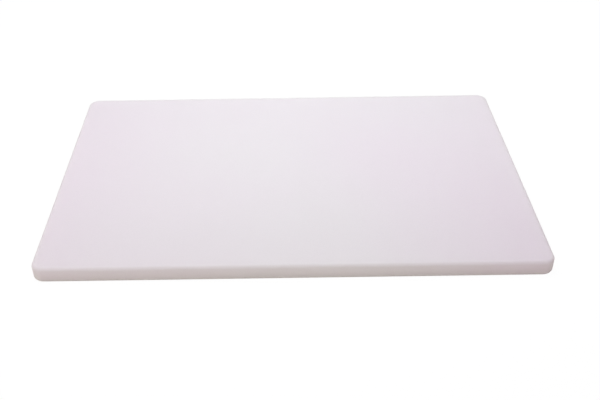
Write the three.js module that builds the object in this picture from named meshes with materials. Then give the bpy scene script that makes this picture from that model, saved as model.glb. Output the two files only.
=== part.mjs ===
// Plastic cutting board: one solid slab of white polyethylene with rounded corners and softened edges.
// Millimetres, +Z up. The board lies flat with its long side along X, and the origin is the middle of its underside.
import * as THREE from "three";

// Driving dimensions of the slab.
const BOARD_LENGTH = 600;
const BOARD_WIDTH = 400;
const BOARD_THICKNESS = 20;
// Radius of the four upright corners, seen from above.
const CORNER_RADIUS = 14;
// Radius of the quarter round that softens every edge of both faces.
const EDGE_RADIUS = 4;

// Facets in each quarter turn of a corner, and in each quarter round of an edge.
const CORNER_FACETS = 16;
const EDGE_FACETS = 8;

// Finish of the plastic.
const PLASTIC_COLOUR = 0xebe5ea;
const PLASTIC_ROUGHNESS = 0.55;

const QUARTER_TURN = Math.PI / 2;
// An arc in a three.js shape is cut into this many facets for each curve segment asked for.
const FACETS_PER_CURVE_SEGMENT = 2;

// The board seen from above: a rectangle whose corners are quarter circles, drawn anticlockwise from the right end.
function boardOutline() {
  const cornerX = BOARD_LENGTH / 2 - CORNER_RADIUS;
  const cornerY = BOARD_WIDTH / 2 - CORNER_RADIUS;
  const cornerCentres = [
    [cornerX, cornerY],
    [-cornerX, cornerY],
    [-cornerX, -cornerY],
    [cornerX, -cornerY],
  ];
  const outline = new THREE.Shape();
  cornerCentres.forEach(([x, y], corner) => {
    const start = corner * QUARTER_TURN;
    outline.absarc(x, y, CORNER_RADIUS, start, start + QUARTER_TURN);
  });
  outline.closePath();
  return outline;
}

// The slab: the outline carried up through the thickness. The bevel is a quarter round of EDGE_RADIUS above and
// below the upright side, offset inwards by its own size so that the side keeps the outline's full length and width.
function boardGeometry() {
  return new THREE.ExtrudeGeometry(boardOutline(), {
    depth: BOARD_THICKNESS - 2 * EDGE_RADIUS,
    curveSegments: CORNER_FACETS / FACETS_PER_CURVE_SEGMENT,
    bevelEnabled: true,
    bevelThickness: EDGE_RADIUS,
    bevelSize: EDGE_RADIUS,
    bevelOffset: -EDGE_RADIUS,
    bevelSegments: EDGE_FACETS,
  });
}

function plasticMaterial() {
  return new THREE.MeshStandardMaterial({
    color: PLASTIC_COLOUR,
    roughness: PLASTIC_ROUGHNESS,
    metalness: 0,
  });
}

// The extrusion's upright side starts at its own zero, one edge radius above the underside.
function makeBoard() {
  const board = new THREE.Mesh(boardGeometry(), plasticMaterial());
  board.name = "board";
  board.position.z = EDGE_RADIUS;
  return board;
}

const cuttingBoard = new THREE.Group();
cuttingBoard.add(makeBoard());

export default cuttingBoard;
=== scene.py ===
# %% [markdown]
# This lesson dresses a plastic cutting board. The real board is one slab of white polyethylene: it is
# sawn from sheet, and a router then rounds its corners and softens its edges. Its solid model is
# already packed at its true size, so that model is loaded first, as a fixed frame. Everything after it
# is in metres in that same frame, with +Z up and the board lying flat on the floor.

# %% Load the solid model
import math

import bpy
import numpy as np
from mathutils import Matrix, Vector


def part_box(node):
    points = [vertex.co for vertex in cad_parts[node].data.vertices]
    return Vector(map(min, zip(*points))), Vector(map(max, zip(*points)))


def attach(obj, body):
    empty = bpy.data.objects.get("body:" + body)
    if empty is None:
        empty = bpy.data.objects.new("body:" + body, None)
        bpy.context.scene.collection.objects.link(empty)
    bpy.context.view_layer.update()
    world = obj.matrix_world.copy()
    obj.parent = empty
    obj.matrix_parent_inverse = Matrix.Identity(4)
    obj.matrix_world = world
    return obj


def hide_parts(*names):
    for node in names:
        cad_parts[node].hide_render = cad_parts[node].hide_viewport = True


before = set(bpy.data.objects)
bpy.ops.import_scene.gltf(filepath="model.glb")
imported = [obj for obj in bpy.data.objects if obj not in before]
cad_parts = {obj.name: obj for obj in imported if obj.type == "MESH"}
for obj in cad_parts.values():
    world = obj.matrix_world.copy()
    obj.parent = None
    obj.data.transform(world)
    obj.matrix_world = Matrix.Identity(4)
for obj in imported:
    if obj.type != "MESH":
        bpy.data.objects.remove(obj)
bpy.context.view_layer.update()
scene = bpy.context.scene

# %% [markdown]
# The camera comes first, because everything after it is judged through it. The board's long and short
# edges run to two vanishing points. Those give the tilt once a lens is chosen: here a normal 50 mm lens
# on a 36 mm wide frame, held in front of the board and looking down at it by about 35 degrees. The
# picture is framed a little off the lens's middle, which a small sideways shift repeats. A constraint
# could aim the camera, but three plain turns say just how it was held.

# %% Make the camera
CAMERA_PLACE = (-0.0126, -0.9264, 0.6275)
LOOK_DOWN_DEG = 35.370
TURN_LEFT_DEG = 0.288
ROLL_DEG = -1.010
LENS_MM = 50.0
FRAME_WIDTH_MM = 36.0
SIDEWAYS_SHIFT = 0.0377
# A new camera looks straight down. Turned up by this much, it looks level.
LEVEL_DEG = 90.0


def turn_about(axis, degrees):
    """A turn about one axis, as a matrix of four rows."""
    return Matrix.Rotation(math.radians(degrees), 4, axis)


def make_camera():
    """Camera rolled about its line of sight, then tilted, then turned about the vertical."""
    lens = bpy.data.cameras.new("camera")
    lens.lens = LENS_MM
    lens.sensor_width = FRAME_WIDTH_MM
    lens.shift_x = SIDEWAYS_SHIFT
    camera = bpy.data.objects.new("camera", lens)
    tilt = turn_about("X", LEVEL_DEG - LOOK_DOWN_DEG)
    held = turn_about("Z", TURN_LEFT_DEG) @ tilt @ turn_about("Z", ROLL_DEG)
    camera.matrix_world = Matrix.Translation(CAMERA_PLACE) @ held
    scene.collection.objects.link(camera)
    scene.camera = camera
    return camera


camera = make_camera()
print("camera", camera.data.lens, "mm lens at", CAMERA_PLACE)

# %% [markdown]
# The slab is drawn from five sizes: its length, width and thickness, the radius of its upright corners,
# and the radius of the quarter round along every edge. They could be typed in again here, but then the
# two models could drift apart. So they are read from the solid: its box gives the first three. The
# solid's flat top starts one edge radius in from its end, and the straight part of its end stops one
# corner radius short of its side.

# %% Read the sizes from the solid
MEASURING_TOLERANCE = 0.00001


def solid_points(node):
    """All corner points of a solid, one row each."""
    count = len(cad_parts[node].data.vertices)
    points = np.empty(count * 3, np.float32)
    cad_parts[node].data.vertices.foreach_get("co", points)
    return points.reshape(count, 3).astype(float)


def measure_radii(points):
    """Edge radius = end of the slab less end of its flat top.

    Corner radius = side of the slab less end of its flat end.
    """
    highest = points.max(axis=0)
    flat_top = points[points[:, 2] > highest[2] - MEASURING_TOLERANCE]
    flat_end = points[points[:, 0] > highest[0] - MEASURING_TOLERANCE]
    edge = highest[0] - flat_top[:, 0].max()
    corner = highest[1] - flat_end[:, 1].max()
    return edge, corner


board_low, board_high = (np.array(corner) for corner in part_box("board"))
board_middle = (board_low + board_high) / 2
board_length, board_width, board_thickness = board_high - board_low
edge_radius, corner_radius = measure_radii(solid_points("board"))
print(f"board {board_length:.3f} x {board_width:.3f} x {board_thickness:.3f} m")
print(f"corner radius {corner_radius:.4f} m, edge radius {edge_radius:.4f} m")

# %% [markdown]
# The shape is a profile carried round a path. The path is the board seen from above: four straight
# sides and four quarter circles, with the outward direction kept beside each point. A beveled cube with
# a modifier would come close, but here each ring of points is placed exactly, so the corners stay true
# arcs and the flat faces stay flat.

# %% Draw the path round the board
CORNER_STEPS = 24
SIDE_STEP = 0.012
QUARTER_TURN = math.pi / 2


def straight_run(start, end):
    """Points from start towards end, about one side step apart, without the end point itself."""
    steps = max(1, round(float(np.linalg.norm(end - start)) / SIDE_STEP))
    share = np.arange(steps)[:, None] / steps
    return start + (end - start) * share


def board_path(length, width, radius):
    """Rounded rectangle: a quarter circle at each corner, then a straight run to the next corner.

    Point of a quarter circle = its centre + radius times direction. Returns the points and their
    outward directions, anticlockwise from above, from the right-hand end.
    """
    points = []
    outward = []
    centre_sign = np.array([(1, 1), (-1, 1), (-1, -1), (1, -1)])
    centres = centre_sign * (length / 2 - radius, width / 2 - radius)
    for quarter, centre in enumerate(centres):
        angle = (quarter + np.arange(CORNER_STEPS + 1) / CORNER_STEPS) * QUARTER_TURN
        direction = np.column_stack([np.cos(angle), np.sin(angle)])
        arc = centre + radius * direction
        next_start = centres[(quarter + 1) % len(centres)] + radius * direction[-1]
        run = straight_run(arc[-1], next_start)[1:]
        points += [arc, run]
        outward += [direction, np.broadcast_to(direction[-1], run.shape)]
    return np.vstack(points), np.vstack(outward)


path, outward = board_path(board_length, board_width, corner_radius)
print("path of", len(path), "points")

# %% [markdown]
# The profile is the board cut through at right angles to its side: flat top, quarter round, upright
# side, quarter round, flat underside. Each step of it is a ring with three numbers: its share of full
# size, which shrinks the rings of the flat faces towards the middle, how far it is drawn in from the
# path, and how high it lies. A fourth number says how upright the surface is there, and the finish uses
# it later to tell the routed edge from the faces.

# %% Draw the profile
EDGE_STEPS = 12
SIDE_RINGS = 6
FACE_RINGS = 20


def edge_profile(thickness, radius):
    """Quarter round: inset = radius (1 - sin a) and drop = radius (1 - cos a), a from 0 to 90 degrees.

    The side goes straight down from there, and the lower half mirrors the upper one.
    Each row is a ring's share of full size, its inset, its height and how upright it is.
    """
    angle = np.linspace(0, QUARTER_TURN, EDGE_STEPS + 1)
    inset = radius * (1 - np.sin(angle))
    upper = thickness - radius * (1 - np.cos(angle))
    side = np.linspace(thickness - radius, radius, SIDE_RINGS + 1)[1:-1]
    share = np.linspace(0, 1, FACE_RINGS + 1)[1:-1]
    face = np.ones_like(share)
    full = np.ones_like(side)
    top_face = np.column_stack([share, radius * face, thickness * face, 0 * face])
    top_edge = np.column_stack([np.ones_like(angle), inset, upper, np.sin(angle)])
    straight = np.column_stack([full, 0 * full, side, full])
    upper_half = np.vstack([top_face, top_edge])
    lower_half = upper_half[::-1].copy()
    lower_half[:, 2] = thickness - lower_half[:, 2]
    return np.vstack([upper_half, straight, lower_half])


profile = edge_profile(board_thickness, edge_radius)
print("profile of", len(profile), "rings")

# %% [markdown]
# Now every ring of the profile is laid round the path at once, as one array of rings by points.
# Neighbouring rings are joined by quads, and a fan of triangles closes the middle of each flat face, so
# the skin is one closed surface. The points go in from the top down, and the faces are listed so that
# they all point outwards.

# %% Lay the rings and join them
def sweep(path, outward, profile):
    """Point (ring, step) = (path - inset times outward) times share, at that ring's height."""
    share, inset, height, _ = profile.T
    flat = (path[None] - inset[:, None, None] * outward[None]) * share[:, None, None]
    heights = np.broadcast_to(height[:, None, None], flat.shape[:2] + (1,))
    return np.concatenate([flat, heights], axis=2)


def ring_faces(rings, steps):
    """Quads between each ring and the one below it, and a fan of triangles to each pole."""
    here = np.arange(steps)
    beside = (here + 1) % steps
    upper = (np.arange(rings - 1) * steps)[:, None]
    lower = upper + steps
    quads = np.stack([upper + here, lower + here, lower + beside, upper + beside], axis=2)
    top_pole = rings * steps
    last = (rings - 1) * steps
    top_fan = np.column_stack([np.full(steps, top_pole), here, beside])
    bottom_fan = np.column_stack([np.full(steps, top_pole + 1), last + beside, last + here])
    return quads.reshape(-1, 4).tolist() + top_fan.tolist() + bottom_fan.tolist()


skin = sweep(path, outward, profile)
faces = ring_faces(len(profile), len(path))
print("skin of", skin.shape[0], "rings by", skin.shape[1], "points, joined by", len(faces), "faces")

# %% [markdown]
# The skin becomes one mesh, set on the solid's own middle. Its shading is smooth, so the rounds show no
# facets. A finish can't know which ring a point came from, so each point also keeps how upright the
# surface is there.

# %% Make the board's mesh
def make_board():
    """The skin and its two poles as a mesh, with how upright it is kept as an attribute."""
    poles = np.array([[0, 0, board_thickness], [0, 0, 0]])
    foot = np.array([board_middle[0], board_middle[1], board_low[2]])
    points = np.vstack([skin.reshape(-1, 3), poles]) + foot
    mesh = bpy.data.meshes.new("cutting_slab")
    mesh.from_pydata(points.tolist(), [], faces)
    mesh.polygons.foreach_set("use_smooth", np.ones(len(mesh.polygons), bool))
    ring_upright = profile[:, 3]
    upright = np.append(np.repeat(ring_upright, len(path)), [0, 0])
    kept = mesh.attributes.new("upright", "FLOAT", "POINT")
    kept.data.foreach_set("value", upright.astype(np.float32))
    mesh.update()
    slab = bpy.data.objects.new("cutting_slab", mesh)
    scene.collection.objects.link(slab)
    return slab


slab = make_board()
print("board of", len(slab.data.vertices), "points and", len(slab.data.polygons), "faces")

# %% [markdown]
# White polyethylene is a milky, faintly see-through plastic with a satin skin. Its look could be
# painted on as a picture, but a picture blurs close up. So one shader makes it from noise, in four
# steps: colour, relief, sheen and milkiness. Every noise is read in the board's own coordinates, so
# that nothing slides when the board moves, and the upright share that was stored on the mesh tells the
# routed edge from the flat faces.

# %% Start the plastic's finish
def add_node(tree, kind, inputs=None, **settings):
    """A shader node with its settings and its unlinked sockets filled in."""
    node = tree.nodes.new(kind)
    for name, value in settings.items():
        setattr(node, name, value)
    for name, value in (inputs or {}).items():
        node.inputs[name].default_value = value
    return node


plastic = bpy.data.materials.new("white_polyethylene")
plastic.use_nodes = True
plastic_tree = plastic.node_tree
plastic_shader = plastic_tree.nodes["Principled BSDF"]
board_place = add_node(plastic_tree, "ShaderNodeTexCoord").outputs["Object"]
board_upright = add_node(plastic_tree, "ShaderNodeAttribute", attribute_name="upright").outputs["Fac"]
slab.data.materials.append(plastic)
print("finish", plastic.name, "on", slab.name)

# %% [markdown]
# The plastic isn't one flat white. Its colour drifts slowly along the board, between a rosier and a
# cooler white, and close up it is finely speckled, because the pigment is never mixed in quite evenly.
# The rosier tint at the board's two ends, though, is a painted colour cast, not the pigment's own.
# A slow noise chooses between the two whites, and a fine one multiplies them by a number close to one.
# Noise goes on without end, so the slow one is first shifted to a stretch where the board's ends come
# out rosier than its middle, as they look in the photograph.

# %% Tint the plastic
ROSY_WHITE = (0.813, 0.747, 0.793, 1.0)
COOL_WHITE = (0.807, 0.773, 0.802, 1.0)
CLOUD_SIZE = 0.40
# Painted colour cast: this shift puts the rosier white on the board's two ends.
ROSY_CAST_SHIFT = (3.44, -0.29, 0.0)
CLOUD_DETAIL = 1.0
SPECKLE_SIZE = 0.0012
SPECKLE_DEPTH = 0.012
FINE_DETAIL = 2.0
# Nearly all of a noise lies between these two values.
NOISE_LOW = 0.3
NOISE_HIGH = 0.7


def noise(tree, place, size, detail):
    """Noise whose blotches are about this size in metres."""
    node = add_node(tree, "ShaderNodeTexNoise", {"Scale": 1 / size, "Detail": detail})
    tree.links.new(place, node.inputs["Vector"])
    return node.outputs["Fac"]


def spread(tree, value, low, high):
    """Stretches a noise so that it runs from low to high."""
    limits = {"From Min": NOISE_LOW, "From Max": NOISE_HIGH, "To Min": low, "To Max": high}
    node = add_node(tree, "ShaderNodeMapRange", limits)
    tree.links.new(value, node.inputs["Value"])
    return node.outputs["Result"]


def socket(sockets, identifier):
    """One socket by its identifier, on a node where several sockets share a name."""
    return next(one for one in sockets if one.identifier == identifier)


def plastic_colour(tree, place):
    """Two whites mixed by a slow drift, times a fine speckle of brightness."""
    # The shift puts the rosier white on the ends: a painted colour cast, not the pigment's own.
    shifted = add_node(tree, "ShaderNodeMapping", {"Location": ROSY_CAST_SHIFT})
    tree.links.new(place, shifted.inputs["Vector"])
    cloud = noise(tree, shifted.outputs["Vector"], CLOUD_SIZE, CLOUD_DETAIL)
    drift = spread(tree, cloud, 0.0, 1.0)
    white = add_node(tree, "ShaderNodeMix", data_type="RGBA")
    socket(white.inputs, "A_Color").default_value = ROSY_WHITE
    socket(white.inputs, "B_Color").default_value = COOL_WHITE
    tree.links.new(drift, socket(white.inputs, "Factor_Float"))
    fine = noise(tree, place, SPECKLE_SIZE, FINE_DETAIL)
    speckle = spread(tree, fine, 1 - SPECKLE_DEPTH, 1 + SPECKLE_DEPTH)
    shade = add_node(tree, "ShaderNodeVectorMath", operation="SCALE")
    tree.links.new(socket(white.outputs, "Result_Color"), shade.inputs["Vector"])
    tree.links.new(speckle, shade.inputs["Scale"])
    return shade.outputs["Vector"]


plastic_tree.links.new(plastic_colour(plastic_tree, board_place), plastic_shader.inputs["Base Color"])
print("colour from", ROSY_WHITE[:3], "to", COOL_WHITE[:3])

# %% [markdown]
# The flat faces have a fine pebbled grain that keeps food from sliding. The routed edges have none of
# it: the cutter leaves them smoother, with faint lines that run along them. Both are too shallow to be
# worth modelling point by point, so they are a height in metres that only bends the light: even noise
# for the grain, and noise drawn out along the edge for the lines. The upright share fades from the one
# to the other.

# %% Grain the faces and line the edges
GRAIN_SIZE = 0.0011
GRAIN_HEIGHT = 0.00006
LINE_LENGTH = 0.12
LINE_PITCH = 0.0011
LINE_HEIGHT = 0.00002


def mix_numbers(tree, share, first, second):
    """first where share is 0, second where it is 1."""
    node = add_node(tree, "ShaderNodeMix", data_type="FLOAT")
    tree.links.new(share, socket(node.inputs, "Factor_Float"))
    tree.links.new(first, socket(node.inputs, "A_Float"))
    tree.links.new(second, socket(node.inputs, "B_Float"))
    return socket(node.outputs, "Result_Float")


def plastic_relief(tree, place, upright):
    """Height of the surface in metres: pebbled grain on the faces, and lines along the routed edges."""
    grain = spread(tree, noise(tree, place, GRAIN_SIZE, FINE_DETAIL), 0.0, GRAIN_HEIGHT)
    line_scale = (1 / LINE_LENGTH, 1 / LINE_LENGTH, 1 / LINE_PITCH)
    drawn_out = add_node(tree, "ShaderNodeMapping", {"Scale": line_scale})
    tree.links.new(place, drawn_out.inputs["Vector"])
    # The mapping has set the size of the lines, so the noise keeps a size of one.
    lines = spread(tree, noise(tree, drawn_out.outputs["Vector"], 1.0, FINE_DETAIL), 0.0, LINE_HEIGHT)
    # The height is in metres already, so the bump takes it as it is.
    bump = add_node(tree, "ShaderNodeBump", {"Strength": 1.0, "Distance": 1.0})
    tree.links.new(mix_numbers(tree, upright, grain, lines), bump.inputs["Height"])
    return bump.outputs["Normal"]


relief = plastic_relief(plastic_tree, board_place, board_upright)
plastic_tree.links.new(relief, plastic_shader.inputs["Normal"])
print("grain of", GRAIN_HEIGHT, "m on the faces, lines of", LINE_HEIGHT, "m on the edges")

# %% [markdown]
# Polyethylene is waxy: it is satin, never glossy, and spreads a reflection so wide that only a soft
# sheen is left. The routed edges are a little shinier than the faces, and the sheen varies from place
# to place, as it does where hands and cloths have rubbed a board. Noise with larger blotches moves the
# roughness up and down by a little.

# %% Set the sheen
FACE_ROUGHNESS = 0.75
EDGE_ROUGHNESS = 0.70
ROUGHNESS_DRIFT = 0.04
SHEEN_PATCH_SIZE = 0.055
SHEEN_DETAIL = 3.0
PLASTIC_IOR = 1.53


def plastic_roughness(tree, place, upright):
    """Satin faces that vary a little from place to place, and smoother routed edges."""
    drift = noise(tree, place, SHEEN_PATCH_SIZE, SHEEN_DETAIL)
    face = spread(tree, drift, FACE_ROUGHNESS - ROUGHNESS_DRIFT, FACE_ROUGHNESS + ROUGHNESS_DRIFT)
    edge = spread(tree, drift, EDGE_ROUGHNESS - ROUGHNESS_DRIFT, EDGE_ROUGHNESS + ROUGHNESS_DRIFT)
    return mix_numbers(tree, upright, face, edge)


roughness = plastic_roughness(plastic_tree, board_place, board_upright)
plastic_tree.links.new(roughness, plastic_shader.inputs["Roughness"])
plastic_shader.inputs["IOR"].default_value = PLASTIC_IOR
print("roughness about", FACE_ROUGHNESS, "on the faces and", EDGE_ROUGHNESS, "on the edges")

# %% [markdown]
# Light goes into this plastic, wanders about inside and comes out somewhere else. So the shade rolls
# softly over the edge, and the upper part of each side glows a little with light that went in through
# the top. A plain colour can't do that. The shader follows such paths itself, once it knows what share
# of the light goes in, how far it travels between one turn and the next, and how far each turn keeps to
# the way that it was going. Milky plastic turns light only a little at a time, so that share is high.

# %% Make the plastic milky
MILKINESS = 0.8
MILKY_REACH = (0.015, 0.015, 0.015)
FORWARD_SHARE = 0.8

plastic_shader.inputs["Subsurface Weight"].default_value = MILKINESS
plastic_shader.inputs["Subsurface Radius"].default_value = MILKY_REACH
# The reach is in metres already, so its scale is one.
plastic_shader.inputs["Subsurface Scale"].default_value = 1.0
plastic_shader.inputs["Subsurface Anisotropy"].default_value = FORWARD_SHARE
print("milkiness", MILKINESS, "reaching", MILKY_REACH, "m, turned forwards by", FORWARD_SHARE)

# %% [markdown]
# The board lies on a plain pale floor, a flat square far wider than the picture, a hair below the board
# so that the two faces don't flicker.

# %% Lay the floor
FLOOR_HALF = 4.0
FLOOR_GAP = 0.0002


def make_floor():
    """A flat square under the board, which isn't part of the board."""
    corners = np.array([(-1, -1), (1, -1), (1, 1), (-1, 1)]) * FLOOR_HALF
    height = np.full((len(corners), 1), board_low[2] - FLOOR_GAP)
    mesh = bpy.data.meshes.new("floor")
    mesh.from_pydata(np.hstack([corners, height]).tolist(), [], [(0, 1, 2, 3)])
    floor = bpy.data.objects.new("floor", mesh)
    scene.collection.objects.link(floor)
    return floor


floor = make_floor()
print("floor", 2 * FLOOR_HALF, "m wide")

# %% [markdown]
# In the photograph the background is pure white, and lamps that made a real floor so white would bleach
# the board. So the floor shows two faces. To light that only bounces about, it is a real pale surface,
# which brightens the board's sides from below. To the camera and to reflections it is white: most of
# that is a steady glow, and the rest is a small share that takes the light of the room, so that the
# board's soft shadow still shows.

# %% Paint the floor
FLOOR_BOUNCE = (0.95, 0.95, 0.80, 1.0)
SHADOW_SHARE = 0.06
WHITE_GLOW = 0.962


def seen_directly(tree):
    """1 for what the camera, a reflection or a ray through glass sees, 0 for light that bounces about."""
    rays = add_node(tree, "ShaderNodeLightPath").outputs
    first = add_node(tree, "ShaderNodeMath", operation="MAXIMUM")
    second = add_node(tree, "ShaderNodeMath", operation="MAXIMUM")
    tree.links.new(rays["Is Camera Ray"], first.inputs[0])
    tree.links.new(rays["Is Glossy Ray"], first.inputs[1])
    tree.links.new(first.outputs[0], second.inputs[0])
    tree.links.new(rays["Is Transmission Ray"], second.inputs[1])
    return second.outputs[0]


def choose_shader(tree, unseen, seen, output):
    """One shader for bouncing light and another for what is seen, joined to the output's surface."""
    choose = add_node(tree, "ShaderNodeMixShader")
    tree.links.new(seen_directly(tree), choose.inputs[0])
    tree.links.new(unseen.outputs[0], choose.inputs[1])
    tree.links.new(seen.outputs[0], choose.inputs[2])
    tree.links.new(choose.outputs[0], tree.nodes[output].inputs["Surface"])


def floor_finish():
    """Pale to bouncing light. To what looks at it, a steady glow + a small share of the room's light."""
    material = bpy.data.materials.new("pale_floor")
    material.use_nodes = True
    tree = material.node_tree
    tree.nodes.remove(tree.nodes["Principled BSDF"])
    bounce = add_node(tree, "ShaderNodeBsdfDiffuse", {"Color": FLOOR_BOUNCE})
    shaded = add_node(tree, "ShaderNodeBsdfDiffuse", {"Color": (SHADOW_SHARE,) * 3 + (1.0,)})
    glow = add_node(tree, "ShaderNodeEmission", {"Strength": WHITE_GLOW})
    white = add_node(tree, "ShaderNodeAddShader")
    tree.links.new(shaded.outputs[0], white.inputs[0])
    tree.links.new(glow.outputs[0], white.inputs[1])
    choose_shader(tree, bounce, white, "Material Output")
    return material


floor.data.materials.append(floor_finish())
print("floor glows at", WHITE_GLOW, "and takes", SHADOW_SHARE, "of the light")

# %% [markdown]
# The light is that of a plain studio. A large soft box hangs above the board and somewhat behind it,
# tilted to the back, so the far side of the board is a little brighter than the near side. A second,
# weaker one stands in front, on the left, and brightens that end of the front edge. An area lamp is
# such a soft box: its size softens the shadows, and its distance sets how fast the light falls off
# along the board.

# %% Hang the soft boxes
KEY_PLACE = (0.02, 0.45, 0.97)
KEY_AIM = (0.02, 1.0, 0.0)
KEY_SIZE = (1.0, 1.6)
KEY_WATTS = 7.66
KEY_COLOUR = (0.88, 1.0, 0.951)
FILL_PLACE = (-0.77, -0.60, 0.9)
FILL_AIM = (0.0, 0.0, 0.0)
FILL_SIZE = (1.0, 1.0)
FILL_WATTS = 2.8
FILL_COLOUR = (1.0, 0.95, 0.91)


def hang_soft_box(name, place, aim, size, watts, colour):
    """A rectangular area lamp at place, facing the point that it is aimed at."""
    light = bpy.data.lights.new(name, "AREA")
    light.shape = "RECTANGLE"
    light.size, light.size_y = size
    light.energy = watts
    light.color = colour
    lamp = bpy.data.objects.new(name, light)
    lamp.location = place
    sight = Vector(aim) - Vector(place)
    lamp.rotation_euler = sight.to_track_quat("-Z", "Y").to_euler()
    scene.collection.objects.link(lamp)


hang_soft_box("key_soft_box", KEY_PLACE, KEY_AIM, KEY_SIZE, KEY_WATTS, KEY_COLOUR)
hang_soft_box("fill_soft_box", FILL_PLACE, FILL_AIM, FILL_SIZE, FILL_WATTS, FILL_COLOUR)
print("soft boxes of", KEY_WATTS, "W and", FILL_WATTS, "W")

# %% [markdown]
# Soft light from all round, slightly rosy, does the rest, and keeps the sides from going grey. It is
# the world's own light. What is seen of the world directly is white, as the floor is, so the board
# stands before plain white from every side.

# %% Fill the studio with soft light
AMBIENT_COLOUR = (1.0, 0.862, 0.932, 1.0)
AMBIENT_STRENGTH = 0.371
WHITE = (1.0, 1.0, 1.0, 1.0)


def make_world():
    """Soft light from all round, which is white where it is seen directly."""
    world = bpy.data.worlds.new("studio")
    world.use_nodes = True
    tree = world.node_tree
    ambient = tree.nodes["Background"]
    ambient.inputs["Color"].default_value = AMBIENT_COLOUR
    ambient.inputs["Strength"].default_value = AMBIENT_STRENGTH
    white = add_node(tree, "ShaderNodeBackground", {"Color": WHITE, "Strength": 1.0})
    choose_shader(tree, ambient, white, "World Output")
    scene.world = world


make_world()
scene.view_settings.view_transform = "Standard"
print("all-round light of", AMBIENT_STRENGTH)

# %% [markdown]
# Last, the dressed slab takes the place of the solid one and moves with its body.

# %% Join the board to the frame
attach(slab, "root")
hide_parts("board")
